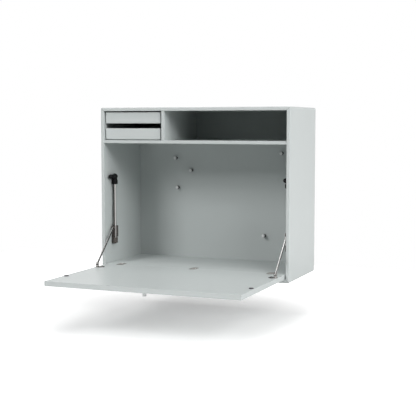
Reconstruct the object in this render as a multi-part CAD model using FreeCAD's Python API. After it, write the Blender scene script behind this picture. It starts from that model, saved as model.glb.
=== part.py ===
"""Wall-hung cabinet desk with a drop flap on two braked stays, two trays and an open shelf.

Millimetres. +Z is up, -Y is the front the user faces, +X is the user's right.
The origin is on the wall plane, in the middle of the width, at the height of the wall screws.
Each node is written to parts/NODE.step.
"""
import FreeCAD, Part
import math
import os

os.makedirs("parts", exist_ok=True)

# --- carcass boards
width = 696.0
height = 580.0
depth = 294.0
board = 12.0            # lacquered board of the carcass, shelf and divider
wall_screw_drop = 40.0  # wall screws below the top of the cabinet
corner_round = 6.0      # outer corners, seen from the front
front_round = 3.0       # front arris all round the carcass
inner_arris = 0.8
spline_thick = 3.0
spline_wide = 10.0
spline_from_edge = 22.0
tongue_in_face = 5.0
tongue_in_end = 8.0
glue_gap = 0.1

# --- back
back_thick = 4.0
back_recess = 4.0       # space behind the back for the hanging rails
back_tongue = 5.0       # how far the back enters its grooves

# --- shelf, divider, floor
inner_setback = 2.0     # shelf and divider behind the front edges
inner_round = 3.5
tray_bay = 221.5        # clear width of the tray compartment

# --- flap and its hinges
flap_thick = 16.0
flap_setback = 2.0      # closed flap behind the front edges
flap_side_gap = 3.5
flap_top_gap = 2.0
joint_gap = 0.8         # between the flap and the floor when open
flap_round = 2.0
hinge_half_wide = 13.5
hinge_half_long = 24.5
hinge_deep = 11.5
hinge_from_side = 56.0  # outer hinges from the side boards
knuckle_radius = 2.0
knuckle_long = 6.0
hinge_pin_radius = 1.0
knuckle_clear = 0.3
running_gap = 0.05
cup_gap = 0.1

# --- braked stays
stay_offset = 10.5      # tube axis off the side board
tube_back = 57.0        # tube axis behind the front edges
tube_radius = 6.0
tube_wall = 1.2
tube_slot = 5.0
slot_clear = 0.3
tube_foot = 106.0       # heights above the underside of the cabinet
tube_below_catch = 19.0 # upper end of the tube below the middle of the catch
slider_foot = 120.0
slider_long = 40.0
slider_half_wide = 9.5
slider_behind = 10.0
slider_ahead = 8.0
slider_corner = 3.5
pivot_ahead = 12.5      # slider pivot in front of the tube axis
pivot_below_top = 6.0
cheek_thick = 2.6
cheek_radius = 5.6
arm_thick = 3.0
arm_half_wide = 4.0
eye_radius = 4.3
rivet_radius = 1.5
rivet_proud = 0.5
fork_clear = 0.3
tongue_tip = 3.0        # end of the tongue in front of the tube axis
strip_wide = 4.2
strip_thick = 1.0
strip_proud = 0.2
strip_in = 0.4
strip_short = 1.0

# --- ends of the stays
collar_radius = 10.0
collar_long = 15.0
collar_bevel = 2.0
collar_over_tube = 9.0
waist_radius = 8.2
dome_radius = 10.2
catch_height = 337.0    # above the underside of the cabinet
nose_radius = 8.0
nose_flat = 0.9
nose_gap = 0.5
boss_radius = 5.0
foot_long = 23.0
foot_over_tube = 11.5
foot_curve = 13.0
foot_screw_drop = 7.0   # lower stay screw below the end of the tube
stay_screw_radius = 2.0
stay_screw_head = 3.8
stay_screw_bite = 8.0
stay_screw_in = 6.5     # screw head inboard of the tube axis

# --- stay fittings on the flap
post_reach = 93.0       # post behind... ahead of the hinge line
post_rise = 12.0        # arm pivot above the flap
post_foot_radius = 5.5
post_neck_radius = 3.7
post_head_radius = 4.2
post_neck = 6.2
post_step = 0.8
disc_radius = 15.0
disc_thick = 1.5
disc_inset = 9.5        # disc centre inboard of the post
disc_ahead = 4.0
plate_screw_radius = 1.75
plate_screw_head = 3.4
plate_screw_long = 12.0
plate_screw_in = 5.5
catch_disc_radius = 7.5
catch_disc_thick = 2.5
catch_disc_in = 15.0    # disc centre from the side board
knob_radius = 5.8
knob_long = 17.0
knob_from_edge = 41.0
knob_bevel = 1.0
stud_radius = 2.0
stud_bite = 11.0

# --- trays
tray_front_high = 40.0
tray_front_thick = 16.0
tray_setback = 9.0
tray_front_gap = 5.7    # beside each tray front
tray_under_gap = 2.0
tray_finger_gap = 15.0
tray_top_gap = 3.0
tray_corner = 6.5
tray_front_round = 6.5
tray_side_in = 1.0      # sides inboard of the ends of the front
tray_side = 10.0
tray_side_high = 30.0
tray_side_up = 2.0
tray_back_gap = 17.0
tray_back_round = 2.0
tray_bottom = 4.0
tray_bottom_up = 5.0
tray_groove = 3.0
runner_high = 9.0
runner_up = 13.0        # runner above the lower edge of the tray side
runner_bite = 4.6
runner_clear = 0.25
runner_groove = 5.0
runner_front_gap = 0.5
runner_back_gap = 18.0

# --- small fittings
pin_hole_radius = 1.6
pin_hole_deep = 8.0
pin_hole_back = 45.5
pin_hole_pitch = 57.0
pin_hole_count = 7
magnet_radius = 5.5
magnet_long = 12.0
magnet_bevel = 0.6
# across from the middle, and down from the shelf
magnet_places = ((-184.6, 59.0), (-122.7, 104.0), (-177.2, 168.0), (228.9, 37.0), (163.2, 335.0))

# --- hanging rails behind the back
rail_sheet = 1.4
rail_from_side = 56.0
hook_from_side = 16.0
rail_low = 14.0
rail_shoulder = 6.0     # top of the rail's flange above the wall screws
rail_lip = 9.0
hook_lip = 8.0
hook_flange = 11.0
rail_gap = 0.5
rail_slack = 0.1
wall_screw_spread = 480.0
wall_screw_radius = 2.75

# --- places that follow from the sizes above
bottom_z = wall_screw_drop - height
top_z = wall_screw_drop
front_y = -depth
inside_x = width / 2 - board
inside_low = bottom_z + board
inside_high = top_z - board
floor_top = inside_low + flap_thick
upper_bay = tray_under_gap + 2 * tray_front_high + tray_finger_gap + tray_top_gap
shelf_top = inside_high - upper_bay
shelf_low = shelf_top - board
hinge_y = front_y + flap_setback + flap_thick
back_face = -back_recess - back_thick
stay_x = -inside_x + stay_offset
tube_y = front_y + tube_back
pivot_y = tube_y - pivot_ahead
pivot_z = bottom_z + slider_foot + slider_long - pivot_below_top
fork_gap = arm_thick + 2 * (rivet_proud + fork_clear)
fork_out = fork_gap / 2 + cheek_thick
post_y = hinge_y - post_reach
post_z = floor_top + post_rise
flap_half = inside_x - flap_side_gap
flap_free_y = hinge_y - (shelf_low - floor_top - flap_top_gap)
catch_z = bottom_z + catch_height
tube_low = bottom_z + tube_foot
tube_high = catch_z - tube_below_catch
foot_screw_z = tube_low - foot_screw_drop
tray_mid_x = -inside_x + tray_bay / 2
tray_front_half = tray_bay / 2 - tray_front_gap
tray_half = tray_front_half - tray_side_in
tray_front_y = front_y + tray_setback
lower_tray_z = shelf_top + tray_under_gap
upper_tray_z = lower_tray_z + tray_front_high + tray_finger_gap
tray_back_y = back_face - tray_back_gap

V = FreeCAD.Vector


def box(x0, x1, y0, y1, z0, z1):
    return Part.makeBox(x1 - x0, y1 - y0, z1 - z0, V(x0, y0, z0))


def rod(axis, radius, start, end):
    """Round bar from start along +X, +Y or +Z to the coordinate end."""
    direction = {"x": V(1, 0, 0), "y": V(0, 1, 0), "z": V(0, 0, 1)}[axis]
    length = end - {"x": start[0], "y": start[1], "z": start[2]}[axis]
    return Part.makeCylinder(radius, length, V(*start), direction)


def face_of(points):
    corners = [V(*p) for p in points]
    return Part.Face(Part.makePolygon(corners + corners[:1]))


def mirrored(shape):
    return shape.mirror(V(0, 0, 0), V(1, 0, 0))


def round_edges(shape, radius, wanted):
    """Fillet every edge for which wanted(bounding box) is true."""
    edges = [e for e in shape.Edges if wanted(e.BoundBox)]
    return shape.makeFillet(radius, edges)


def bevel_edges(shape, size, wanted):
    """Chamfer every edge for which wanted(bounding box) is true."""
    edges = [e for e in shape.Edges if wanted(e.BoundBox)]
    return shape.makeChamfer(size, edges)


def group(shapes):
    return Part.makeCompound(list(shapes))


def save(name, shape):
    shape.exportStep("parts/%s.step" % name)


def countersunk_screw(radius, head_radius, long):
    """Screw pointing down -Z with the flat of its head at z = 0."""
    head = head_radius - radius
    profile = face_of([(0, 0, 0), (head_radius, 0, 0), (radius, 0, -head), (radius, 0, -long), (0, 0, -long)])
    return profile.revolve(V(0, 0, 0), V(0, 0, 1), 360)


# ---------------------------------------------------------------- carcass
def carcass_ring():
    """Rounded open frame that the four mitred boards are sawn from."""
    ring = box(-width / 2, width / 2, front_y, 0, bottom_z, top_z)
    ring = round_edges(ring, corner_round, lambda b: b.YLength > depth - 1)
    ring = round_edges(ring, front_round, lambda b: b.YMax < front_y + 0.01)
    ring = ring.cut(box(-inside_x, inside_x, front_y - 1, 1, inside_low, inside_high))
    inner = inside_x + 1
    return round_edges(ring, inner_arris, lambda b: b.YMax < front_y + 0.01 and b.XMax < inner
                       and b.XMin > -inner and b.ZMax < inside_high + 1 and b.ZMin > inside_low - 1)


def mitre_wedges():
    """Four wedges whose shared faces are the mitre planes: left, right, bottom, top."""
    reach = 10.0
    out_x = width / 2 + reach
    out_low = bottom_z - reach
    out_high = top_z + reach
    left = [(-out_x, 0, out_low), (-inside_x, 0, inside_low), (-inside_x, 0, inside_high), (-out_x, 0, out_high)]
    low = [(-out_x, 0, out_low), (out_x, 0, out_low), (inside_x, 0, inside_low), (-inside_x, 0, inside_low)]
    high = [(-out_x, 0, out_high), (out_x, 0, out_high), (inside_x, 0, inside_high), (-inside_x, 0, inside_high)]
    wedges = [face_of(p).extrude(V(0, -depth - 2, 0)) for p in (left, low, high)]
    for wedge in wedges:
        wedge.translate(V(0, 1, 0))
    return {"left": wedges[0], "right": mirrored(wedges[0]), "bottom": wedges[1], "top": wedges[2]}


def corner_splines(gap):
    """Loose tongues across the four mitres, grown by gap on every side."""
    tongues = []
    half_long = depth / 2 - spline_from_edge + gap
    for side in (-1, 1):
        for z, up in ((bottom_z + board / 2, -1), (top_z - board / 2, 1)):
            half_thick = spline_thick / 2 + gap
            half_wide = spline_wide / 2 + gap
            tongue = box(-half_wide, half_wide, -half_long, half_long, -half_thick, half_thick)
            tongue.rotate(V(0, 0, 0), V(0, 1, 0), 45 * side * up)
            tongue.translate(V(side * (width / 2 - board / 2), front_y / 2, z))
            tongues.append(tongue)
    return group(tongues)


def board_tongues(gap):
    """Tongues that join shelf and floor to the sides, and the divider to shelf and top."""
    half = spline_thick / 2 + gap
    face = tongue_in_face + gap
    end = tongue_in_end + gap
    y0 = front_y + spline_from_edge - gap
    y1 = -spline_from_edge + gap
    tongues = []
    for z in (shelf_low + board / 2, floor_top - flap_thick / 2):
        start = y0 if z > shelf_low else y0 + spline_from_edge
        right = box(inside_x - end, inside_x + face, start, y1, z - half, z + half)
        tongues += [right, mirrored(right)]
    x = -inside_x + tray_bay + board / 2
    tongues.append(box(x - half, x + half, y0, y1, shelf_top - face, shelf_top + end))
    tongues.append(box(x - half, x + half, y0, y1, inside_high - end, inside_high + face))
    return group(tongues)


def pin_holes():
    """Column of shelf-pin holes near the front of each side."""
    y = front_y + pin_hole_back
    holes = []
    for step in range(pin_hole_count):
        z = bottom_z + board / 2 + pin_hole_pitch * (step + 1)
        hole = rod("x", pin_hole_radius, (-inside_x - pin_hole_deep, y, z), -inside_x + 1)
        holes += [hole, mirrored(hole)]
    return group(holes)


def back_board(gap):
    edge = back_tongue + gap
    return box(-inside_x - edge, inside_x + edge, back_face - gap, -back_recess + gap,
               inside_low - edge, inside_high + edge)


def middle_shelf():
    shelf = box(-inside_x, inside_x, front_y + inner_setback, back_face, shelf_low, shelf_top)
    return round_edges(shelf, inner_round, lambda b: b.YMax < front_y + inner_setback + 0.01 and b.XLength > 1)


def tray_divider():
    x = -inside_x + tray_bay
    wall = box(x, x + board, front_y + inner_setback, back_face, shelf_top, inside_high)
    front = front_y + inner_setback + 0.01
    return round_edges(wall, inner_arris, lambda b: b.YMax < front and b.ZLength > 1)


def desk_floor():
    return box(-inside_x, inside_x, hinge_y + joint_gap / 2, back_face, inside_low, floor_top)


# ---------------------------------------------------------------- hanging rails
def sheet_rail(outline, half_long):
    rail = face_of([(-half_long, y, z) for y, z in outline])
    return rail.extrude(V(2 * half_long, 0, 0))


def wall_rail():
    """Sheet rail on the wall: a flange with two screw holes and a lip that stands off it."""
    shoulder = rail_shoulder
    lip = -rail_sheet - rail_gap - rail_slack
    outline = [(0, -rail_low), (0, shoulder), (lip, shoulder), (lip, shoulder + rail_lip),
               (lip - rail_sheet, shoulder + rail_lip), (lip - rail_sheet, shoulder - rail_sheet),
               (-rail_sheet, shoulder - rail_sheet), (-rail_sheet, -rail_low)]
    rail = sheet_rail(outline, inside_x - rail_from_side)
    for side in (-1, 1):
        rail = rail.cut(rod("y", wall_screw_radius, (side * wall_screw_spread / 2, -back_recess, 0), 1))
    return rail


def hook_rail():
    """Sheet rail on the back that hooks behind the lip and rests on it."""
    seat = rail_shoulder + rail_lip
    lip = -rail_gap - rail_sheet
    outline = [(-back_recess, seat), (lip, seat), (lip, seat - hook_lip), (-rail_gap, seat - hook_lip),
               (-rail_gap, seat + rail_sheet), (-back_recess + rail_sheet, seat + rail_sheet),
               (-back_recess + rail_sheet, seat + hook_flange), (-back_recess, seat + hook_flange)]
    return sheet_rail(outline, inside_x - hook_from_side)


# ---------------------------------------------------------------- flap hinges
def at_hinges(shape):
    """Copies of a fitting made about x = 0 on the hinge line, one at each hinge."""
    copies = []
    for step in (-1, 0, 1):
        copy = shape.copy()
        copy.translate(V(step * (inside_x - hinge_from_side), hinge_y, floor_top))
        copies.append(copy)
    return group(copies)


def hinge_cup(gap, high):
    """Round-ended oblong sunk across the hinge line, grown by gap all round."""
    radius = hinge_half_wide + gap
    middle = hinge_half_long - hinge_half_wide
    low = -hinge_deep - gap
    cup = box(-radius, radius, -middle, middle, low, high)
    for end in (-middle, middle):
        cup = cup.fuse(rod("z", radius, (0, end, low), high))
    return cup.removeSplitter()


def knuckle_span(owner):
    """The floor's knuckle is left of the middle of the hinge and the flap's is right of it."""
    near = knuckle_clear / 2
    far = near + knuckle_long
    return (-far, -near) if owner == "floor" else (near, far)


def hinge_half(owner):
    """Half cup with its knuckle, and a square notch for the other half's knuckle."""
    edge = joint_gap / 2
    reach = hinge_half_long + 1
    y0, y1 = (edge, reach) if owner == "floor" else (-reach, -edge)
    half = hinge_cup(0, 0).common(box(-reach, reach, y0, y1, -reach, 1))
    room = knuckle_radius + knuckle_clear
    start, end = knuckle_span("flap" if owner == "floor" else "floor")
    half = half.cut(box(start - knuckle_clear, end + knuckle_clear, -room, room, -room, room))
    start, end = knuckle_span(owner)
    half = half.fuse(rod("x", knuckle_radius, (start, 0, 0), end))
    bore = hinge_pin_radius + (running_gap if owner == "flap" else 0)
    return half.cut(rod("x", bore, (-reach, 0, 0), reach)).removeSplitter()


def hinge_pin():
    start, end = knuckle_span("floor")[0], knuckle_span("flap")[1]
    return rod("x", hinge_pin_radius, (start, 0, 0), end)


# ---------------------------------------------------------------- flap
def flap_blank():
    flap = box(-flap_half, flap_half, flap_free_y, hinge_y - joint_gap / 2, inside_low, floor_top)
    hinge_side = hinge_y - joint_gap / 2 - 0.01
    flap = round_edges(flap, flap_round, lambda b: b.YMin < hinge_side and b.ZLength < 1)
    return flap


def knob():
    """Turned knob under the open flap, on the front of the closed one."""
    y = flap_free_y + knob_from_edge
    bar = rod("z", knob_radius, (0, y, inside_low - knob_long), inside_low)
    return bevel_edges(bar, knob_bevel, lambda b: b.ZMax < inside_low - knob_long + 0.01)


def knob_stud(gap):
    y = flap_free_y + knob_from_edge
    return rod("z", stud_radius + gap, (0, y, inside_low - stud_bite - gap), inside_low + stud_bite + gap)


def catch_disc():
    x = -inside_x + catch_disc_in
    y = hinge_y - (catch_z - floor_top)
    return rod("z", catch_disc_radius, (x, y, floor_top), floor_top + catch_disc_thick)


# ---------------------------------------------------------------- braked stay, left hand
def guide_tube():
    """Tube with a slot down its front, for the slider's tongue."""
    foot = (stay_x, tube_y, tube_low)
    tube = rod("z", tube_radius, foot, tube_high).cut(rod("z", tube_radius - tube_wall, foot, tube_high))
    half = tube_slot / 2
    return tube.cut(box(stay_x - half, stay_x + half, tube_y - tube_radius, tube_y, tube_low, tube_high))


def tube_space():
    return rod("z", tube_radius, (stay_x, tube_y, tube_low), tube_high)


def slider():
    """Sleeve on the tube with a tongue in its slot and a fork in front for the arm."""
    low = bottom_z + slider_foot
    high = low + slider_long
    body = box(stay_x - slider_half_wide, stay_x + slider_half_wide, tube_y - slider_ahead,
               tube_y + slider_behind, low, high)
    body = round_edges(body, slider_corner, lambda b: b.ZLength > slider_long - 1)
    bore = rod("z", tube_radius + running_gap, (stay_x, tube_y, low), high)
    tongue = tube_slot / 2 - slot_clear
    bore = bore.cut(box(stay_x - tongue, stay_x + tongue, tube_y - slider_ahead, tube_y - tongue_tip, low, high))
    body = body.cut(bore).cut(wear_strip())
    fork = rod("x", cheek_radius, (stay_x - fork_out, pivot_y, pivot_z), stay_x + fork_out)
    root = tube_y - slider_ahead
    fork = fork.fuse(box(stay_x - fork_out, stay_x + fork_out, pivot_y, root, pivot_z - cheek_radius,
                         pivot_z + cheek_radius))
    gap = box(stay_x - fork_gap / 2, stay_x + fork_gap / 2, pivot_y - slider_ahead,
              pivot_y + eye_radius + fork_clear, pivot_z - slider_long / 2, high)
    pin = rod("x", rivet_radius, (stay_x - fork_out, pivot_y, pivot_z), stay_x + fork_out)
    return body.fuse(fork).cut(gap).cut(pin).removeSplitter()


def wear_strip():
    """Bright steel strip let into the inner front corner of the slider."""
    low = bottom_z + slider_foot + strip_short
    high = bottom_z + slider_foot + slider_long - strip_short
    right = stay_x + slider_half_wide - strip_in
    front = tube_y - slider_ahead
    return box(right - strip_wide, right, front - strip_proud, front + strip_thick, low, high)


def slider_pin():
    """Two peened stubs in the cheeks; they stop short of the arm."""
    outer = fork_out + rivet_proud
    left = rod("x", rivet_radius, (stay_x - outer, pivot_y, pivot_z), stay_x - fork_gap / 2)
    right = rod("x", rivet_radius, (stay_x + fork_gap / 2, pivot_y, pivot_z), stay_x + outer)
    return group([left, right])


def stay_arm():
    """Flat link between the post pivot and the slider pivot, with a rounded eye at each end."""
    run_y = pivot_y - post_y
    run_z = pivot_z - post_z
    length = math.hypot(run_y, run_z)
    half = arm_thick / 2
    arm = box(-half, half, 0, length, -arm_half_wide, arm_half_wide)
    for y in (0, length):
        arm = arm.fuse(rod("x", eye_radius, (-half, y, 0), half))
    arm = arm.cut(rod("x", rivet_radius + running_gap, (-half, 0, 0), half))
    arm = arm.cut(rod("x", rivet_radius, (-half, length, 0), half)).removeSplitter()
    arm.rotate(V(0, 0, 0), V(1, 0, 0), math.degrees(math.atan2(run_z, run_y)))
    arm.translate(V(stay_x, post_y, post_z))
    return arm


def arm_rivet():
    half = arm_thick / 2 + rivet_proud
    return rod("x", rivet_radius, (stay_x - half, pivot_y, pivot_z), stay_x + half)


def flap_post():
    """Round plate on the flap with a flared post that ends in a fork for the arm."""
    plate = rod("z", disc_radius, (stay_x + disc_inset, post_y + disc_ahead, floor_top), floor_top + disc_thick)
    top = post_rise + post_head_radius
    stem = face_of([(0, 0, 0), (post_foot_radius, 0, 0), (post_foot_radius, 0, disc_thick),
                    (post_neck_radius, 0, post_neck), (post_head_radius, 0, post_neck + post_step),
                    (post_head_radius, 0, top), (0, 0, top)]).revolve(V(0, 0, 0), V(0, 0, 1), 360)
    wide = post_foot_radius
    crown = rod("x", post_head_radius, (-wide, 0, post_rise), wide)
    stem = stem.common(box(-wide, wide, -wide, wide, 0, post_rise).fuse(crown))
    fork = arm_thick / 2 + fork_clear
    stem = stem.cut(box(-fork, fork, -wide, wide, post_rise - eye_radius - fork_clear, top))
    stem = stem.cut(rod("x", rivet_radius, (-wide, 0, post_rise), wide))
    stem.translate(V(stay_x, post_y, floor_top))
    return plate.fuse(stem).cut(plate_screw()).removeSplitter()


def post_pin():
    half = post_head_radius + rivet_proud
    return rod("x", rivet_radius, (stay_x - half, post_y, post_z), stay_x + half)


def plate_screw():
    """Countersunk screw through the plate, on the side away from the post."""
    screw = countersunk_screw(plate_screw_radius, plate_screw_head, plate_screw_long)
    screw.translate(V(stay_x + disc_inset + plate_screw_in, post_y + disc_ahead, floor_top + disc_thick))
    return screw


def boss(z):
    """Boss that stands a stay fitting off the side board."""
    return rod("x", boss_radius, (-inside_x, tube_y, z), stay_x)


def top_catch():
    """Moulded head: collar on the tube, dome above it and a rounded nose that meets the closed flap."""
    low = tube_high - collar_over_tube
    collar = rod("z", collar_radius, (stay_x, tube_y, low), low + collar_long)
    collar = bevel_edges(collar, collar_bevel, lambda b: b.ZMax < low + 0.01)
    waist = rod("z", waist_radius, (stay_x, tube_y, low), catch_z)
    dome = Part.makeSphere(dome_radius, V(stay_x, tube_y, catch_z))
    head = collar.fuse(waist).fuse(dome).fuse(nose()).fuse(boss(catch_z))
    return head.cut(tube_space()).cut(stay_screw(catch_z)).cut(sink_space(catch_z)).removeSplitter()


def nose():
    """Nose with a ball end, cut flat just short of the disc on the closed flap."""
    face = hinge_y + catch_disc_thick + nose_gap
    middle = face - nose_flat + nose_radius
    ball = Part.makeSphere(nose_radius, V(stay_x, middle, catch_z))
    ball = ball.fuse(rod("y", nose_radius, (stay_x, middle, catch_z), tube_y))
    reach = dome_radius
    return ball.common(box(stay_x - reach, stay_x + reach, face, tube_y, catch_z - reach, catch_z + reach))


def lower_bracket():
    """Moulded socket under the tube with a rounded foot."""
    high = tube_low + foot_over_tube
    low = high - foot_long
    socket = rod("z", collar_radius, (stay_x, tube_y, low), high)
    socket = socket.common(Part.makeSphere(foot_curve, V(stay_x, tube_y, low + foot_curve)).fuse(
        rod("z", foot_curve, (stay_x, tube_y, low + foot_curve), high)))
    socket = socket.fuse(boss(foot_screw_z))
    socket = socket.cut(tube_space()).cut(stay_screw(foot_screw_z)).cut(sink_space(foot_screw_z))
    return socket.removeSplitter()


def stay_screw(z):
    """Screw across a stay fitting into the side board, its head sunk in the inner face."""
    screw = countersunk_screw(stay_screw_radius, stay_screw_head, stay_offset + stay_screw_in + stay_screw_bite)
    screw.rotate(V(0, 0, 0), V(0, 1, 0), 90)
    screw.translate(V(stay_x + stay_screw_in, tube_y, z))
    return screw


def sink_space(z):
    mouth = stay_x + stay_screw_in
    return rod("x", stay_screw_head, (mouth, tube_y, z), mouth + collar_radius)


# ---------------------------------------------------------------- trays
def tray_front(z):
    """Tray front with rounded corners and well-rounded front edges."""
    y = tray_front_y
    front = box(tray_mid_x - tray_front_half, tray_mid_x + tray_front_half, y, y + tray_front_thick,
                z, z + tray_front_high)
    front = round_edges(front, tray_corner, lambda b: b.YLength > tray_front_thick - 1)
    return round_edges(front, tray_front_round, lambda b: b.YMax < y + 0.01)


def tray_bottom_board(z, gap):
    reach = tray_half - tray_side + tray_groove + gap
    y = tray_front_y + tray_front_thick
    low = z + tray_side_up + tray_bottom_up - gap
    return box(tray_mid_x - reach, tray_mid_x + reach, y, tray_back_y - tray_side + tray_groove + gap,
               low, low + tray_bottom + 2 * gap)


def tray_box(z):
    """Sides and back of a tray, with runner grooves outside and a groove for the bottom inside."""
    y = tray_front_y + tray_front_thick
    low = z + tray_side_up
    high = low + tray_side_high
    walls = box(tray_mid_x - tray_half, tray_mid_x + tray_half, y, tray_back_y, low, high)
    walls = round_edges(walls, tray_back_round, lambda b: b.ZLength > 1 and b.YMin > y + 1)
    inner = tray_half - tray_side
    walls = walls.cut(box(tray_mid_x - inner, tray_mid_x + inner, y, tray_back_y - tray_side, low, high))
    walls = walls.cut(tray_bottom_board(z, glue_gap))
    for side in (-1, 1):
        x0, x1 = sorted((tray_mid_x + side * tray_half, tray_mid_x + side * (tray_half - runner_groove)))
        walls = walls.cut(box(x0, x1, y, tray_back_y, low + runner_up - runner_clear,
                              low + runner_up + runner_high + runner_clear))
    return walls


def tray_runners(z):
    low = z + tray_side_up + runner_up
    y0 = tray_front_y + tray_front_thick + runner_front_gap
    reach = tray_half - runner_bite
    strips = []
    for side in (-1, 1):
        x0, x1 = sorted((tray_mid_x + side * tray_bay / 2, tray_mid_x + side * reach))
        strips.append(box(x0, x1, y0, back_face - runner_back_gap, low, low + runner_high))
    return strips


# ---------------------------------------------------------------- magnets on the back
def board_magnets():
    face = back_face - magnet_long
    magnets = [rod("y", magnet_radius, (x, face, shelf_low - drop), back_face) for x, drop in magnet_places]
    return group(bevel_edges(m, magnet_bevel, lambda b: b.YMax < face + 0.01) for m in magnets)


# ---------------------------------------------------------------- assembly
def pair(shape):
    return group([shape, mirrored(shape)])


def make_boards():
    ring = carcass_ring()
    wedges = mitre_wedges()
    cuts = [corner_splines(glue_gap), board_tongues(glue_gap), back_board(glue_gap)]
    screws = pair(group([stay_screw(catch_z), stay_screw(foot_screw_z)]))
    for name, wedge in wedges.items():
        upright = name in ("left", "right")
        piece = ring.common(wedge)
        for tool in cuts + [pin_holes(), screws] if upright else cuts:
            piece = piece.cut(tool)
        save(name + ("_side" if upright else "_panel"), piece)
    save("middle_shelf", middle_shelf().cut(cuts[1]))
    save("tray_divider", tray_divider().cut(cuts[1]))
    save("corner_splines", corner_splines(0))
    save("board_tongues", board_tongues(0))
    save("back_board", back_board(0))
    save("stay_screws", screws)


def make_floor_and_flap():
    pockets = at_hinges(hinge_cup(cup_gap, 1))
    save("desk_floor", desk_floor().cut(board_tongues(glue_gap)).cut(pockets))
    save("flap_panel", flap_blank().cut(pockets).cut(pair(plate_screw())).cut(knob_stud(0)))
    for owner in ("floor", "flap"):
        save(owner + "_hinge_halves", at_hinges(hinge_half(owner)))
    save("hinge_pins", at_hinges(hinge_pin()))
    save("flap_knob", knob().cut(knob_stud(0)))
    save("knob_stud", knob_stud(0))
    save("flap_catch_discs", pair(catch_disc()))
    save("flap_posts", pair(flap_post()))
    save("post_pins", pair(post_pin()))
    save("plate_screws", pair(plate_screw()))


def make_stays():
    left = {"guide_tube": guide_tube(), "slider": slider(), "slider_strip": wear_strip(),
            "slider_pin": slider_pin(), "stay_arm": stay_arm(), "arm_rivet": arm_rivet()}
    for name, shape in left.items():
        save("left_" + name, shape)
        save("right_" + name, mirrored(shape))
    save("top_catches", pair(top_catch()))
    save("lower_brackets", pair(lower_bracket()))


def make_trays():
    for name, z in (("upper", upper_tray_z), ("lower", lower_tray_z)):
        save(name + "_tray_front", tray_front(z))
        save(name + "_tray_box", tray_box(z))
        save(name + "_tray_bottom", tray_bottom_board(z, 0))
    save("tray_runners", group(tray_runners(upper_tray_z) + tray_runners(lower_tray_z)))


make_boards()
make_floor_and_flap()
make_stays()
make_trays()
save("wall_rail", wall_rail())
save("hook_rail", hook_rail())
save("board_magnets", board_magnets())
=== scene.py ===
import bpy
import bmesh
import math
from mathutils import Matrix, Vector


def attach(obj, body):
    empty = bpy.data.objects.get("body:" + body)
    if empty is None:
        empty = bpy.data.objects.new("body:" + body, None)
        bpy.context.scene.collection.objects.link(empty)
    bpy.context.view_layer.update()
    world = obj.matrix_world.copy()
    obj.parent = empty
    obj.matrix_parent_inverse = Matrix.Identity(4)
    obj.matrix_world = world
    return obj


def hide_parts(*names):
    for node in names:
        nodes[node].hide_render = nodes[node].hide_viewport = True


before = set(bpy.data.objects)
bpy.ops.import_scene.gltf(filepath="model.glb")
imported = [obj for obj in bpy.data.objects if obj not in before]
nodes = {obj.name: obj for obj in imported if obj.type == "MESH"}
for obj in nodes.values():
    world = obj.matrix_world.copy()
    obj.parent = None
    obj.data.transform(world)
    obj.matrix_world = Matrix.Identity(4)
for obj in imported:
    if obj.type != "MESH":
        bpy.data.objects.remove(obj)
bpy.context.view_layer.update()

# ---------------------------------------------------------------- carcass
# The carcass is a mitred box of 12 mm fibreboard with a shelf and a divider. Every face is sprayed with
# a pale grey satin lacquer: a fine orange peel, a faint drift in tone, and a hairline at each mitre.
LACQUER = (0.515, 0.548, 0.543)
MITRE_SHADOW = (0.16, 0.17, 0.17)
HALF_WIDE, HALF_HIGH, MIDDLE_Z, HAIRLINE = 0.348, 0.290, -0.25, 0.0006
NARROW, CREASE = 1.5, math.radians(34)


def new_finish(name, inputs):
    """Empty node group for a finish, with its inputs and the three outputs that a material takes."""
    group = bpy.data.node_groups.new(name, "ShaderNodeTree")
    for label, kind, value in inputs:
        socket = group.interface.new_socket(label, in_out="INPUT", socket_type="NodeSocket" + kind)
        socket.default_value = value
    for label, kind in (("Colour", "Color"), ("Roughness", "Float"), ("Height", "Float")):
        group.interface.new_socket(label, in_out="OUTPUT", socket_type="NodeSocket" + kind)
    return group, group.nodes.new("NodeGroupInput"), group.nodes.new("NodeGroupOutput")


def wire(tree, a, out, b, into):
    tree.links.new(a.outputs[out], b.inputs[into])


def maths(tree, operation, *values, kind="ShaderNodeMath"):
    """Math node whose values are fixed ones or (node, output) pairs to wire in."""
    node = tree.nodes.new(kind)
    node.operation = operation
    for place, value in enumerate(values):
        if isinstance(value, tuple) and isinstance(value[0], bpy.types.Node):
            wire(tree, *value, node, place)
        else:
            node.inputs[place].default_value = value
    return node


def noise(tree, coordinates, socket, scale, detail=3.0, rough=0.5):
    node = tree.nodes.new("ShaderNodeTexNoise")
    node.inputs["Scale"].default_value = scale
    node.inputs["Detail"].default_value = detail
    node.inputs["Roughness"].default_value = rough
    wire(tree, coordinates, socket, node, "Vector")
    return node


def ranged(tree, source, socket, low, high):
    node = tree.nodes.new("ShaderNodeMapRange")
    node.inputs["To Min"].default_value = low
    node.inputs["To Max"].default_value = high
    wire(tree, source, socket, node, "Value")
    return node


def scaled_colour(tree, given, amount, made):
    """The given colour made lighter or darker by an amount, sent out of the group."""
    tone = tree.nodes.new("ShaderNodeVectorMath")
    tone.operation = "SCALE"
    wire(tree, given, "Colour", tone, 0)
    wire(tree, amount, 0, tone, "Scale")
    wire(tree, tone, 0, made, "Colour")


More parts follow.
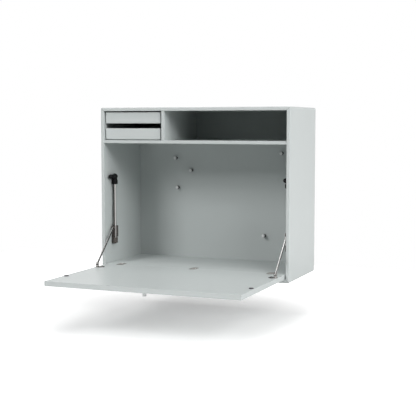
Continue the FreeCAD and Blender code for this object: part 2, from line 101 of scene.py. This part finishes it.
def lacquer_film():
    """Sprayed film: slow drift in tone, patchy sheen and orange peel."""
    group, given, made = new_finish("lacquer_film", [("Colour", "Color", (0.6, 0.6, 0.6, 1)),
                                                     ("Drift", "Float", 0.03)])
    place = group.nodes.new("ShaderNodeTexCoord")
    away = maths(group, "SUBTRACT", (noise(group, place, "Object", 5.0, 2.0), "Fac"), 0.5)
    scaled_colour(group, given, maths(group, "MULTIPLY_ADD", (away, 0), (given, "Drift"), 1.0), made)
    sheen = ranged(group, noise(group, place, "Object", 45.0), "Fac", 0.28, 0.36)
    wire(group, sheen, 0, made, "Roughness")
    wire(group, noise(group, place, "Object", 620.0, 2.0), "Fac", made, "Height")
    return group


def shader_of(material):
    return material.node_tree.nodes["Principled BSDF"]


def finished(name, finish, settings, relief, depth):
    """Material that takes its colour, roughness and relief from a finish."""
    material = bpy.data.materials.new(name)
    material.use_nodes = True
    tree, shader = material.node_tree, shader_of(material)
    skin = tree.nodes.new("ShaderNodeGroup")
    skin.name = "finish"
    skin.node_tree = finish
    for label, value in settings.items():
        skin.inputs[label].default_value = value
    wire(tree, skin, "Colour", shader, "Base Color")
    wire(tree, skin, "Roughness", shader, "Roughness")
    bump = tree.nodes.new("ShaderNodeBump")
    bump.inputs["Strength"].default_value = relief
    bump.inputs["Distance"].default_value = depth
    wire(tree, skin, "Height", bump, "Height")
    wire(tree, bump, "Normal", shader, "Normal")
    return material


film = lacquer_film()


def lacquer(name, drift, peel=0.25, ior=1.30):
    material = finished(name, film, {"Colour": (*LACQUER, 1), "Drift": drift}, peel, 0.00004)
    shader_of(material).inputs["IOR"].default_value = ior
    return material


def tint_where(material, mask, colour):
    """Another colour over the finish wherever the mask is 1."""
    tree = material.node_tree
    mix = tree.nodes.new("ShaderNodeMix")
    mix.data_type = "RGBA"
    mix.inputs["B"].default_value = (*colour, 1)
    wire(tree, mask, 0, mix, "Factor")
    wire(tree, tree.nodes["finish"], "Colour", mix, "A")
    wire(tree, mix, "Result", shader_of(material), "Base Color")


def mitre_lines(tree):
    """1 along the four mitres of the box, which run at 45 degrees to its corners, and 0 elsewhere."""
    split = tree.nodes.new("ShaderNodeSeparateXYZ")
    wire(tree, tree.nodes.new("ShaderNodeTexCoord"), "Object", split, "Vector")
    side = maths(tree, "ABSOLUTE", (split, "X"))
    up = maths(tree, "ABSOLUTE", (maths(tree, "ADD", (split, "Z"), -MIDDLE_Z), 0))
    apart = maths(tree, "SUBTRACT", (side, 0), (up, 0))
    return maths(tree, "COMPARE", (apart, 0), HALF_WIDE - HALF_HIGH, HAIRLINE)


def dress(names, material):
    for name in names:
        slots = nodes[name].data.materials
        slots.clear()
        slots.append(material)


carcass_paint = lacquer("carcass_lacquer", 0.03)
tint_where(carcass_paint, mitre_lines(carcass_paint.node_tree), MITRE_SHADOW)
dress(["left_side", "right_side", "top_panel", "bottom_panel"], carcass_paint)


def whole_faces(bm):
    """Join the triangles of each flat face into one face."""
    bmesh.ops.remove_doubles(bm, verts=bm.verts, dist=0.001)
    bmesh.ops.dissolve_limit(bm, angle_limit=math.radians(1.0), verts=bm.verts, edges=bm.edges)


def merged_copy(node):
    """Millimetre copy of a CAD solid, with whole faces."""
    bm = bmesh.new()
    bm.from_mesh(nodes[node].data)
    bmesh.ops.scale(bm, verts=bm.verts, vec=(1000.0, 1000.0, 1000.0))
    whole_faces(bm)
    return bm


def round_over(bm, edges, width, steps, clamp=True):
    bmesh.ops.bevel(bm, geom=edges, offset=width, offset_type="OFFSET", affect="EDGES", segments=steps,
                    profile=0.5, material=-1, clamp_overlap=clamp)


def square_edges(bm, reach, planes, width, steps):
    """Run rounded edges out to the planes (axis, value) that meet there, then ease them afresh."""
    def near(vert):
        return [(axis, value) for axis, value in planes if abs(vert.co[axis] - value) < reach]

    for vert in bm.verts:
        found = near(vert)
        if len(found) > 1:
            for axis, value in found:
                vert.co[axis] = value
    whole_faces(bm)
    outer = [e for e in bm.edges if len(set(near(e.verts[0])) & set(near(e.verts[1]))) > 1]
    round_over(bm, outer, width, steps)


def in_scene(name, data):
    thing = bpy.data.objects.new(name, data)
    bpy.context.scene.collection.objects.link(thing)
    return thing


def finish_piece(bm, name, material, body, slot, *stands_for):
    """Millimetre mesh made a piece that rides on its body; broad faces stay flat, narrow ones run smooth."""
    bmesh.ops.recalc_face_normals(bm, faces=bm.faces)
    narrow = [face.calc_area() < NARROW * max(e.calc_length() for e in face.edges) for face in bm.faces]
    bmesh.ops.scale(bm, verts=bm.verts, vec=(0.001, 0.001, 0.001))
    mesh = bpy.data.meshes.new(name)
    bm.to_mesh(mesh)
    bm.free()
    mesh.set_sharp_from_angle(angle=CREASE)
    mesh.polygons.foreach_set("use_smooth", narrow)
    mesh.materials.append(material)
    piece = in_scene(name, mesh)
    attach(piece, body)
    if stands_for:
        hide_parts(*stands_for)
    return piece


# The shelf has a crisp arris along its front. Its upper face lies 1.2 mm below the solid's, so it shows
# 10.8 mm thick, and the divider reaches down to it.
SHELF_FRONT, SHELF_UNDER, SHELF_TOP, SHELF_LOWERED = -292.0, -84.0, -72.0, (0.0, 0.0, -1.2)
shelf_paint = lacquer("shelf_lacquer", 0.025, ior=1.08)
dress(["desk_floor"], shelf_paint)
shelf = merged_copy("middle_shelf")
square_edges(shelf, 3.55, [(1, SHELF_FRONT), (2, SHELF_UNDER), (2, SHELF_TOP)], 1.5, 4)
upper = [v for v in shelf.verts if v.co.z > (SHELF_UNDER + SHELF_TOP) / 2]
bmesh.ops.translate(shelf, verts=upper, vec=SHELF_LOWERED)
finish_piece(shelf, "middle_shelf_eased", shelf_paint, "carcass", "lacquered_board", "middle_shelf")
divider = merged_copy("tray_divider")
foot = [v for v in divider.verts if v.co.z < SHELF_TOP + 2]
bmesh.ops.translate(divider, verts=foot, vec=SHELF_LOWERED)
finish_piece(divider, "divider_board", shelf_paint, "carcass", "lacquered_board", "tray_divider")

# ---------------------------------------------------------------- back board
# A thin lacquered board held in grooves all round; it carries the note magnets.
dress(["back_board"], lacquer("back_lacquer", 0.04, 0.3, 1.05))


# ---------------------------------------------------------------- splines and tongues
# Loose beech splines glued across the mitres, and tongues that hold shelf, floor and divider.
def wood_grain():
    """Long streaks along Y with fine pores."""
    group, given, made = new_finish("wood_grain", [("Light", "Color", (0.7, 0.5, 0.3, 1)),
                                                   ("Dark", "Color", (0.5, 0.3, 0.2, 1))])
    stretch = group.nodes.new("ShaderNodeMapping")
    stretch.inputs["Scale"].default_value = (60.0, 4.0, 60.0)
    wire(group, group.nodes.new("ShaderNodeTexCoord"), "Object", stretch, "Vector")
    streak = noise(group, stretch, 0, 4.0, 5.0, 0.6)
    blend = group.nodes.new("ShaderNodeMix")
    blend.data_type = "RGBA"
    wire(group, streak, "Fac", blend, "Factor")
    wire(group, given, "Dark", blend, "A")
    wire(group, given, "Light", blend, "B")
    wire(group, blend, "Result", made, "Colour")
    wire(group, ranged(group, streak, "Fac", 0.5, 0.7), 0, made, "Roughness")
    wire(group, noise(group, stretch, 0, 22.0, 2.0), "Fac", made, "Height")
    return group


BEECH = {"Light": (0.60, 0.42, 0.26, 1), "Dark": (0.42, 0.27, 0.15, 1)}
dress(["corner_splines", "board_tongues"], finished("beech", wood_grain(), BEECH, 0.3, 0.0002))


# ---------------------------------------------------------------- hanging rails
# Two zinc-plated sheet rails behind the back: one stays on the wall, and one is screwed to the back board
# with pan-head screws and hooks over it.
def metal_finish():
    """Plated or coated metal: fine stretched scratches and a patchy shine."""
    group, given, made = new_finish("metal_finish", [("Colour", "Color", (0.6, 0.6, 0.6, 1)),
                                                     ("Along", "Vector", (1, 1, 1)),
                                                     ("Shine low", "Float", 0.2),
                                                     ("Shine high", "Float", 0.35)])
    place = group.nodes.new("ShaderNodeTexCoord")
    along = maths(group, "MULTIPLY", (place, "Object"), (given, "Along"), kind="ShaderNodeVectorMath")
    fine = noise(group, along, 0, 900.0, 2.0)
    span = group.nodes.new("ShaderNodeMapRange")
    wire(group, noise(group, place, "Object", 160.0, 3.0), "Fac", span, "Value")
    wire(group, given, "Shine low", span, "To Min")
    wire(group, given, "Shine high", span, "To Max")
    wire(group, span, 0, made, "Roughness")
    wire(group, fine, "Fac", made, "Height")
    scaled_colour(group, given, ranged(group, fine, "Fac", 0.9, 1.06), made)
    return group


scratched = metal_finish()


def metal(name, colour, shine, along=(1, 1, 1), metallic=1.0, marks=0.15):
    """Metal with its shine between two roughnesses and its scratches drawn out along one axis."""
    settings = {"Colour": (*colour, 1), "Along": along, "Shine low": shine[0], "Shine high": shine[1]}
    material = finished(name, scratched, settings, marks, 0.00005)
    shader_of(material).inputs["Metallic"].default_value = metallic
    return material


screw_steel = metal("screw_steel", (0.55, 0.55, 0.54), (0.22, 0.35))
dress(["wall_rail", "hook_rail"], metal("zinc_sheet", (0.56, 0.57, 0.58), (0.3, 0.5), (0.03, 1, 1)))


def loop_out(bm, edges, wide, height):
    """Next ring of a drawn form: the loop extruded, scaled about Z and set at a height."""
    grown = bmesh.ops.extrude_edge_only(bm, edges=edges)["geom"]
    ring = [g for g in grown if isinstance(g, bmesh.types.BMVert)]
    bmesh.ops.scale(bm, verts=ring, vec=(wide, wide, 1.0))
    bmesh.ops.translate(bm, verts=ring, vec=(0.0, 0.0, height - ring[0].co.z))
    return [g for g in grown if isinstance(g, bmesh.types.BMEdge)]


def pattern_of(bm):
    mesh = bpy.data.meshes.new("pattern")
    bm.to_mesh(mesh)
    bm.free()
    return mesh


def cross_screw(head, shank, long, rise, deep_side):
    """Screw with a domed head and a cross recess, its seat at z = 0 and its shank down -Z."""
    crown, shoulder, seat = 0.62, 1.42, -0.15
    bm = bmesh.new()
    ring = bmesh.ops.create_circle(bm, cap_ends=False, radius=head * crown, segments=20)["verts"]
    bmesh.ops.translate(bm, verts=ring, vec=(0.0, 0.0, rise))
    rim = list(bm.edges)
    slot, reach = head * 0.13, head * 0.46
    cross = []
    for quarter in range(4):
        corner = Matrix.Rotation(quarter * math.pi / 2, 3, "Z")
        cross += [bm.verts.new(corner @ Vector((x, y, rise * 1.1)))
                  for x, y in ((slot, slot), (slot, reach), (-slot, reach))]
    lips = [bm.edges.new((cross[i], cross[(i + 1) % 12])) for i in range(12)]
    bmesh.ops.bridge_loops(bm, edges=rim + lips)
    bmesh.ops.edgeloop_fill(bm, edges=loop_out(bm, lips, 0.6, rise - head * 0.5))
    for wide, height in ((shoulder, rise * 0.62), (1 / (crown * shoulder), 0.0), (1.0, seat),
                         (shank / head, seat - deep_side), (1.0, -long)):
        rim = loop_out(bm, rim, wide, height)
    bmesh.ops.edgeloop_fill(bm, edges=rim)
    bmesh.ops.recalc_face_normals(bm, faces=bm.faces)
    return pattern_of(bm)


def stamped(pattern, places):
    """One mesh of a pattern repeated at each placing."""
    bm = bmesh.new()
    for place in places:
        copy = pattern.copy()
        copy.transform(place)
        bm.from_mesh(copy)
        bpy.data.meshes.remove(copy)
    return bm


RAIL_FACE_Y, RAIL_SCREW_Z = -2.62, 20.4
pan_screw = cross_screw(3.6, 1.5, 3.0, 1.3, 0.3)
to_back = Matrix.Rotation(-math.pi / 2, 4, "X")
places = [Matrix.Translation((x, RAIL_FACE_Y, RAIL_SCREW_Z)) @ to_back for x in range(-300, 301, 120)]
finish_piece(stamped(pan_screw, places), "rail_screws", screw_steel, "carcass", "fastener_steel")


# ---------------------------------------------------------------- trays
# Two lacquered trays with well-rounded fronts; their grooved sides run on moulded strips screwed to the
# cabinet.
def plastic_skin():
    """Moulded plastic: fine spark-eroded texture and a slight drift in tone."""
    group, given, made = new_finish("moulded_plastic", [("Colour", "Color", (0.1, 0.1, 0.1, 1)),
                                                        ("Shine", "Float", 0.4)])
    place = group.nodes.new("ShaderNodeTexCoord")
    slow = noise(group, place, "Object", 70.0, 2.0)
    scaled_colour(group, given, ranged(group, slow, "Fac", 0.88, 1.12), made)
    drift = ranged(group, slow, "Fac", 0.85, 1.15)
    wire(group, maths(group, "MULTIPLY", (given, "Shine"), (drift, 0)), 0, made, "Roughness")
    wire(group, noise(group, place, "Object", 1400.0, 2.0), "Fac", made, "Height")
    return group


moulded = plastic_skin()


def plastic(name, colour, shine, texture):
    return finished(name, moulded, {"Colour": (*colour, 1), "Shine": shine}, texture, 0.00005)


tray_paint = lacquer("tray_lacquer", 0.02)
dress([level + "_tray_" + part for level in ("upper", "lower") for part in ("front", "box", "bottom")],
      tray_paint)
dress(["tray_runners"], plastic("runner_grey", (0.55, 0.55, 0.54), 0.45, 0.4))
TRAY_X, TRAY_Y, TRAY_WIDE, TRAY_THICK = -227.25, -277.0, 212.5, 16.0


def rounded_front(low, high):
    """Tray front between two levels, with rounded corners and a rounded arris round its face."""
    bm = bmesh.new()
    bmesh.ops.create_cube(bm, size=1.0)
    bmesh.ops.scale(bm, verts=bm.verts, vec=(TRAY_WIDE, TRAY_THICK, high - low))
    bmesh.ops.translate(bm, verts=bm.verts, vec=(TRAY_X, TRAY_Y, (low + high) / 2))
    round_over(bm, [e for e in bm.edges if abs(e.verts[0].co.y - e.verts[1].co.y) > 1], 4.0, 8, False)
    face_y = TRAY_Y - TRAY_THICK / 2
    face = [e for e in bm.edges if max(v.co.y for v in e.verts) < face_y + 0.1]
    round_over(bm, face, 2.4, 6, False)
    return bm


for level, low, high in (("upper", -15.0, 24.2), ("lower", -71.2, -32.0)):
    finish_piece(rounded_front(low, high), level + "_front_rounded", tray_paint, level + "_tray",
                 "lacquered_board", level + "_tray_front")

# ---------------------------------------------------------------- hinges
# Three cast oblong hinges: one half is sunk in the floor and one in the flap, each held by a countersunk
# screw, with a round steel pin through the two knuckles.
HINGE_Y, TOP_Z, HINGE_X = -276.0, -512.0, (-280.0, 0.0, 280.0)
SCREW_AWAY, SCREW_PROUD = 14.0, 0.15
cast = metal("hinge_cast", (0.30, 0.285, 0.27), (0.35, 0.5), metallic=0.8)


def ease_edges(bm, width):
    """Small rounded bevel on every edge sharper than 35 degrees."""
    sharp = [e for e in bm.edges if e.is_manifold and e.calc_face_angle() > math.radians(35)]
    round_over(bm, sharp, width, 2)


for owner, body in (("floor", "carcass"), ("flap", "flap")):
    halves = merged_copy(owner + "_hinge_halves")
    ease_edges(halves, 0.3)
    finish_piece(halves, owner + "_hinges", cast, body, "hinge_metal", owner + "_hinge_halves")
hinge_screw = cross_screw(3.4, 1.5, 6.0, 0.45, 0.5)
for owner, body, way in (("floor", "carcass", 1), ("flap", "flap", -1)):
    screw_y = HINGE_Y + way * SCREW_AWAY
    places = [Matrix.Translation((x, screw_y, TOP_Z + SCREW_PROUD)) @ Matrix.Rotation(0.5 * x, 4, "Z")
              for x in HINGE_X]
    finish_piece(stamped(hinge_screw, places), owner + "_hinge_screws", screw_steel, body, "fastener_steel")


def turned(profile, steps):
    """Solid turned about Z from (radius, height) points that start and end on the axis."""
    bm = bmesh.new()
    points = [bm.verts.new((r, 0.0, z)) for r, z in profile]
    lines = [bm.edges.new(two) for two in zip(points, points[1:])]
    bmesh.ops.spin(bm, geom=points + lines, axis=(0, 0, 1), cent=(0, 0, 0), angle=math.tau, steps=steps,
                   use_merge=True)
    bmesh.ops.remove_doubles(bm, verts=bm.verts, dist=0.0005)
    bmesh.ops.recalc_face_normals(bm, faces=bm.faces)
    return bm


def pin_pattern(radius, half, head):
    """Pin along Z with a peened dome at each end."""
    waist = [(radius * 0.6, -half + head * 0.12), (radius, -half + head * 0.5)]
    mirrored = [(r, -z) for r, z in reversed(waist)]
    return pattern_of(turned([(0, -half)] + waist + mirrored + [(0, half)], 20))


across = Matrix.Rotation(math.pi / 2, 4, "Y")
hinge_pin = pin_pattern(1.0, 6.15, 0.6)
places = [Matrix.Translation((x, HINGE_Y, TOP_Z)) @ across for x in HINGE_X]
finish_piece(stamped(hinge_pin, places), "hinge_pin_rods", screw_steel, "carcass", "fastener_steel",
             "hinge_pins")

# ---------------------------------------------------------------- flap
# One 16 mm lacquered board with eased edges: the desk top when open and the door when closed. A turned
# knob is drawn up against its outer face by a stud.
FLAP_HALF, FLAP_END, FLAP_UNDER, KNOB_Y = 332.5, -702.0, -528.0, -661.0
flap = merged_copy("flap_panel")
square_edges(flap, 2.05, [(0, -FLAP_HALF), (0, FLAP_HALF), (1, FLAP_END), (2, FLAP_UNDER), (2, TOP_Z)],
             0.5, 3)
finish_piece(flap, "flap_board", lacquer("flap_lacquer", 0.025), "flap", "lacquered_board", "flap_panel")
dress(["knob_stud"], screw_steel)
# Painted light: the knob's grey is set lighter than its lacquer-like grey, to make up for the shade it sits
# in under the flap.
knob_coat = metal("knob_coat", (0.76, 0.78, 0.775), (0.35, 0.45), metallic=0.0)
knob = turned([(0, -544.6), (3.9, -544.7), (4.9, -545.0), (5.8, -544.9), (6.3, -544.5), (6.5, -543.8),
               (6.5, -531.2), (6.3, -530.6), (5.6, -530.2), (5.6, FLAP_UNDER), (0, FLAP_UNDER)], 40)
bmesh.ops.translate(knob, verts=knob.verts, vec=(0.0, KNOB_Y, 0.0))
finish_piece(knob, "knob", knob_coat, "flap", "knob_metal", "flap_knob")

# Two coated steel discs near the free corners meet the magnets in the catches when the flap is closed.
DISC_X, DISC_Y = 321.0, -585.0
disc_coat = metal("disc_coat", (0.03, 0.022, 0.032), (0.4, 0.5), metallic=0.0)
disc = pattern_of(turned([(0, 2.1), (1.1, 2.1), (1.5, 2.4), (5.9, 2.5), (6.9, 2.3), (7.4, 1.8), (7.5, 1.2),
                          (7.5, 0.0), (0, 0.0)], 40))
places = [Matrix.Translation((x, DISC_Y, TOP_Z)) for x in (-DISC_X, DISC_X)]
finish_piece(stamped(disc, places), "catch_discs", disc_coat, "flap", "catch_disc_steel", "flap_catch_discs")

# ---------------------------------------------------------------- stays
# Each stay is a slotted, satin-plated tube on the side board, a braked sleeve that slides on it, and a
# flat arm that joins the sleeve to a forked post on the flap. The bore of the tube is painted dark as
# painted shade inside it.
STAY_X, TUBE_Y, BORE_REACH = 325.5, -237.0, 5.3
PIVOT_Y, PIVOT_Z, CHEEK_OFF = -249.5, -386.0, 4.05
tube_plate = metal("tube_plate", (0.53, 0.52, 0.51), (0.28, 0.4), (1, 1, 0.03))
nickel = metal("nickel", (0.52, 0.515, 0.505), (0.07, 0.13), (1, 0.05, 0.05), marks=0.05)
nickel_painted_shade = metal("nickel_painted_shade", (0.19, 0.186, 0.18), (0.12, 0.22), (1, 0.05, 0.05), marks=0.05)
strip_steel = metal("strip_steel", (0.60, 0.58, 0.57), (0.4, 0.5), metallic=0.5)
slider_brown = plastic("slider_brown", (0.055, 0.045, 0.042), 0.4, 0.4)


def bore_painted_shade(tree):
    """1 nearer to the axis of either tube than its bore reaches, and 0 elsewhere."""
    vector = "ShaderNodeVectorMath"
    fold = maths(tree, "ABSOLUTE", (tree.nodes.new("ShaderNodeTexCoord"), "Object"), kind=vector)
    level = maths(tree, "MULTIPLY", (fold, 0), (1, 1, 0), kind=vector)
    away = maths(tree, "DISTANCE", (level, 0), (STAY_X / 1000, -TUBE_Y / 1000, 0), kind=vector)
    return maths(tree, "LESS_THAN", (away, "Value"), BORE_REACH / 1000)


# Painted shade: the inside of each tube bore is coloured near black.
tint_where(tube_plate, bore_painted_shade(tube_plate.node_tree), (0.06, 0.058, 0.055))
dress(["left_guide_tube", "right_guide_tube"], tube_plate)
rivet = pin_pattern(1.5, 2.0, 0.8)
stub = pin_pattern(1.5, 1.65, 0.8)
for side, sign in (("left", -1), ("right", 1)):
    arm_body, slider_body = side + "_arm", side + "_slider"
    for node, material, body, slot, width in (
            ("slider", slider_brown, slider_body, "slider_plastic", 0.5),
            ("slider_strip", strip_steel, slider_body, "nickel", 0.2),
            ("stay_arm", nickel, arm_body, "nickel", 0.2)):
        part = merged_copy(side + "_" + node)
        ease_edges(part, width)
        # Painted reflection: the flat sides of each arm take a darker copy of the nickel, for the shaded
        # boards they reflect.
        for face in part.faces:
            face.material_index = int(node == "stay_arm" and abs(face.normal.x) > 0.9)
        piece = finish_piece(part, side + "_" + node + "_piece", material, body, slot, side + "_" + node)
        if node == "stay_arm":
            piece.data.materials.append(nickel_painted_shade)
    pivot = Matrix.Translation((sign * STAY_X, PIVOT_Y, PIVOT_Z))
    finish_piece(stamped(rivet, [pivot @ across]), side + "_arm_rivet_piece", nickel, arm_body, "nickel",
                 side + "_arm_rivet")
    cheeks = [pivot @ Matrix.Translation((way * CHEEK_OFF, 0, 0)) @ across for way in (-1, 1)]
    finish_piece(stamped(stub, cheeks), side + "_slider_pin_piece", nickel, slider_body, "nickel",
                 side + "_slider_pin")

# Each post is turned, forked for the arm, and fixed by its round domed plate and one screw. It is fuller
# than the solid's, widened about its own axis above the plate.
POST_Y, POST_PIN_Z, POST_FOOT, POST_FULLER = -369.0, -500.0, 1.6, 1.22
PLATE_X, PLATE_Y, PLATE_SCREW_X, PLATE_SCREW_SEAT = 316.0, -365.0, 310.5, 2.45
post_metal = metal("post_metal", (0.20, 0.196, 0.19), (0.2, 0.3))
posts = merged_copy("flap_posts")
for vert in posts.verts:
    if vert.co.z > TOP_Z + POST_FOOT:
        axis = Vector((math.copysign(STAY_X, vert.co.x), POST_Y, vert.co.z))
        vert.co = axis + (vert.co - axis) * POST_FULLER
ease_edges(posts, 0.3)
finish_piece(posts, "stay_posts", post_metal, "flap", "nickel", "flap_posts")
dome = pattern_of(turned([(0, 2.6), (8.0, 2.5), (11.5, 2.2), (13.6, 1.6), (14.7, 0.9), (15.0, 0.3),
                          (15.0, 0.0), (0, 0.0)], 56))
places = [Matrix.Translation((x, PLATE_Y, TOP_Z)) for x in (-PLATE_X, PLATE_X)]
finish_piece(stamped(dome, places), "post_plates", post_metal, "flap", "nickel")
post_pin = pin_pattern(1.5, 5.5, 0.8)
places = [Matrix.Translation((x, POST_Y, POST_PIN_Z)) @ across for x in (-STAY_X, STAY_X)]
finish_piece(stamped(post_pin, places), "post_pin_rods", post_metal, "flap", "nickel", "post_pins")
cap_steel = metal("cap_steel", (0.16, 0.155, 0.15), (0.2, 0.3))
plate_screw = cross_screw(4.8, 1.6, 13.0, 1.3, 0.4)
places = [Matrix.Translation((x, PLATE_Y, TOP_Z + PLATE_SCREW_SEAT)) @ Matrix.Rotation(x, 4, "Z")
          for x in (-PLATE_SCREW_X, PLATE_SCREW_X)]
finish_piece(stamped(plate_screw, places), "post_plate_screws", cap_steel, "flap", "fastener_steel",
             "plate_screws")


# The head and the foot of each tube are moulded with soft corners; a screw across each goes into the side.
def soft_moulding(node, cell, passes):
    """CAD solid's mesh remade as one even skin, its corners run soft."""
    rough = in_scene("rough_" + node, pattern_of(merged_copy(node)))
    even = rough.modifiers.new("even_skin", "REMESH")
    even.mode = "VOXEL"
    even.voxel_size = cell
    skin = bpy.data.meshes.new_from_object(rough.evaluated_get(bpy.context.evaluated_depsgraph_get()))
    bpy.data.objects.remove(rough)
    bm = bmesh.new()
    bm.from_mesh(skin)
    for _ in range(passes):
        bmesh.ops.smooth_vert(bm, verts=bm.verts, factor=0.5, use_axis_x=True, use_axis_y=True,
                              use_axis_z=True)
    return bm


CATCH_SLIMMER, HEAD_SCREW_Z, FOOT_SCREW_Z, SCREW_SEAT_X = 0.16, -203.0, -441.0, 319.3
catch_black = plastic("catch_black", (0.006, 0.006, 0.007), 0.16, 0.12)
shader_of(catch_black).inputs["IOR"].default_value = 1.2
heads = soft_moulding("top_catches", 0.4, 2)
for vert in heads.verts:
    inboard = max(0.0, STAY_X - abs(vert.co.x))
    vert.co.x = math.copysign(abs(vert.co.x) - CATCH_SLIMMER * inboard, vert.co.x)
finish_piece(heads, "catch_heads", catch_black, "carcass", "catch_plastic", "top_catches")
bracket_brown = plastic("bracket_brown", (0.075, 0.064, 0.057), 0.42, 0.4)
finish_piece(soft_moulding("lower_brackets", 0.45, 3), "tube_feet", bracket_brown, "carcass",
             "bracket_plastic", "lower_brackets")
stay_screw = cross_screw(3.6, 1.9, 25.0, 0.4, 1.8)
places = [Matrix.Scale(sign, 4, (1, 0, 0)) @ Matrix.Translation((-SCREW_SEAT_X, TUBE_Y, z)) @ across
          for sign in (1, -1) for z in (HEAD_SCREW_Z, FOOT_SCREW_Z)]
finish_piece(stamped(stay_screw, places), "stay_screw_set", screw_steel, "carcass", "fastener_steel",
             "stay_screws")

# ---------------------------------------------------------------- magnets
# Five note magnets on the back board: a dark plated button behind a pale grey cap with a small chamfer.
BACK_FACE_Y = -8.0
MAGNETS_XZ = ((-184.6, -143.0), (-122.7, -188.0), (-177.2, -252.0), (228.9, -121.0), (163.2, -419.0))
outward = Matrix.Rotation(math.pi / 2, 4, "X")
places = [Matrix.Translation((x, BACK_FACE_Y, z)) @ outward for x, z in MAGNETS_XZ]
magnet_plate = metal("magnet_plate", (0.05, 0.05, 0.052), (0.3, 0.4), metallic=0.6)
button = pattern_of(turned([(0, 14.6), (5.7, 14.6), (5.7, 0.4), (5.4, 0.0), (0, 0.0)], 40))
finish_piece(stamped(button, places), "note_magnets", magnet_plate, "carcass", "magnet_metal",
             "board_magnets")
magnet_cap = plastic("magnet_cap_grey", (0.68, 0.69, 0.69), 0.4, 0.2)
cap = pattern_of(turned([(0, 17.0), (4.5, 17.0), (5.2, 16.8), (5.6, 16.3), (5.6, 14.5), (0, 14.5)], 40))
finish_piece(stamped(cap, places), "note_magnet_caps", magnet_cap, "carcass", "magnet_metal")

# ---------------------------------------------------------------- studio
# Pale floor under the hung cabinet, a white surround, and soft lamps above, in front and at the sides.
# The floor runs out to white away from the cabinet, and the surround lights nothing but shines in metal.
FLOOR_Z, FLOOR_HALF, FLOOR_MIDDLE_Y, GLOW_MIDDLE_Y = -0.688, 1.6, -0.5, -0.45
mesh = bpy.data.meshes.new("studio_floor")
bm = bmesh.new()
bmesh.ops.create_grid(bm, x_segments=2, y_segments=2, size=FLOOR_HALF)
bmesh.ops.translate(bm, verts=bm.verts, vec=(0.0, FLOOR_MIDDLE_Y, FLOOR_Z))
bm.to_mesh(mesh)
bm.free()
floor = in_scene("studio_floor", mesh)
paint = bpy.data.materials.new("studio_floor")
paint.use_nodes = True
tree = paint.node_tree
for label, value in (("Base Color", (0.9, 0.9, 0.9, 1)), ("Roughness", 0.9), ("Specular IOR Level", 0.0),
                     ("Emission Color", (1, 1, 1, 1))):
    shader_of(paint).inputs[label].default_value = value
place = tree.nodes.new("ShaderNodeTexCoord")
away = maths(tree, "DISTANCE", (place, "Object"), (0.0, GLOW_MIDDLE_Y, FLOOR_Z), kind="ShaderNodeVectorMath")
fade = ranged(tree, away, "Value", 0.33, 1.0)
fade.interpolation_type = "SMOOTHSTEP"
fade.inputs["From Min"].default_value = 0.3
fade.inputs["From Max"].default_value = 1.4
path = tree.nodes.new("ShaderNodeLightPath")
glow = maths(tree, "MULTIPLY", (path, "Is Camera Ray"), (fade, 0))
wire(tree, glow, 0, shader_of(paint), "Emission Strength")
mesh.materials.append(paint)

world = bpy.data.worlds.new("studio")
bpy.context.scene.world = world
world.use_nodes = True
tree = world.node_tree
white = tree.nodes.new("ShaderNodeBackground")
for background, strength in ((tree.nodes["Background"], 0.0), (white, 1.0)):
    background.inputs["Color"].default_value = (1, 1, 1, 1)
    background.inputs["Strength"].default_value = strength
path = tree.nodes.new("ShaderNodeLightPath")
seen = maths(tree, "MAXIMUM", (path, "Is Camera Ray"), (path, "Is Glossy Ray"))
choose = tree.nodes.new("ShaderNodeMixShader")
wire(tree, seen, 0, choose, "Fac")
wire(tree, tree.nodes["Background"], 0, choose, 1)
wire(tree, white, 0, choose, 2)
wire(tree, choose, 0, tree.nodes["World Output"], "Surface")

LAMPS_AIM = Vector((0.0, -0.3, -0.3))
for name, place, side, power in (
        ("lamp_right_low", (4.92, 0.57, -0.30), 2.6, 58),
        ("lamp_right", (4.67, -1.55, 0.99), 1.2, 47),
        ("lamp_right_raised", (4.18, -1.42, 2.20), 2.6, 58),
        ("lamp_right_front", (3.32, -3.08, 2.20), 1.4, 43),
        ("lamp_right_high", (1.92, -1.91, 4.03), 2.6, 54),
        ("lamp_front_high", (1.06, -2.57, 4.03), 2.6, 23),
        ("lamp_front_key", (-1.95, -4.17, 2.20), 1.8, 118),
        ("lamp_left_front", (-3.55, -2.78, 2.20), 2.6, 12),
        ("lamp_top", (0.00, -0.31, 4.70), 2.6, 68)):
    light = bpy.data.lights.new(name, "AREA")
    light.shape = "RECTANGLE"
    light.size = light.size_y = side
    light.energy = power
    lamp = in_scene(name, light)
    lamp.location = place
    lamp.rotation_euler = (LAMPS_AIM - Vector(place)).to_track_quat("-Z", "Y").to_euler()

PICTURE_WIDE, FOCAL_PIXELS, SENSOR_WIDE, LOOKING_DOWN, TURNED_LEFT = 416, 958.9775, 36.0, 0.0868, 0.3914
lens = bpy.data.cameras.new("camera")
lens.sensor_width = SENSOR_WIDE
lens.lens = FOCAL_PIXELS / PICTURE_WIDE * SENSOR_WIDE
camera = in_scene("camera", lens)
camera.location = (1.29178, -3.27909, -0.01880)
camera.rotation_euler = (math.pi / 2 - LOOKING_DOWN, 0.0, TURNED_LEFT)
bpy.context.scene.camera = camera
bpy.context.scene.view_settings.view_transform = "Standard"
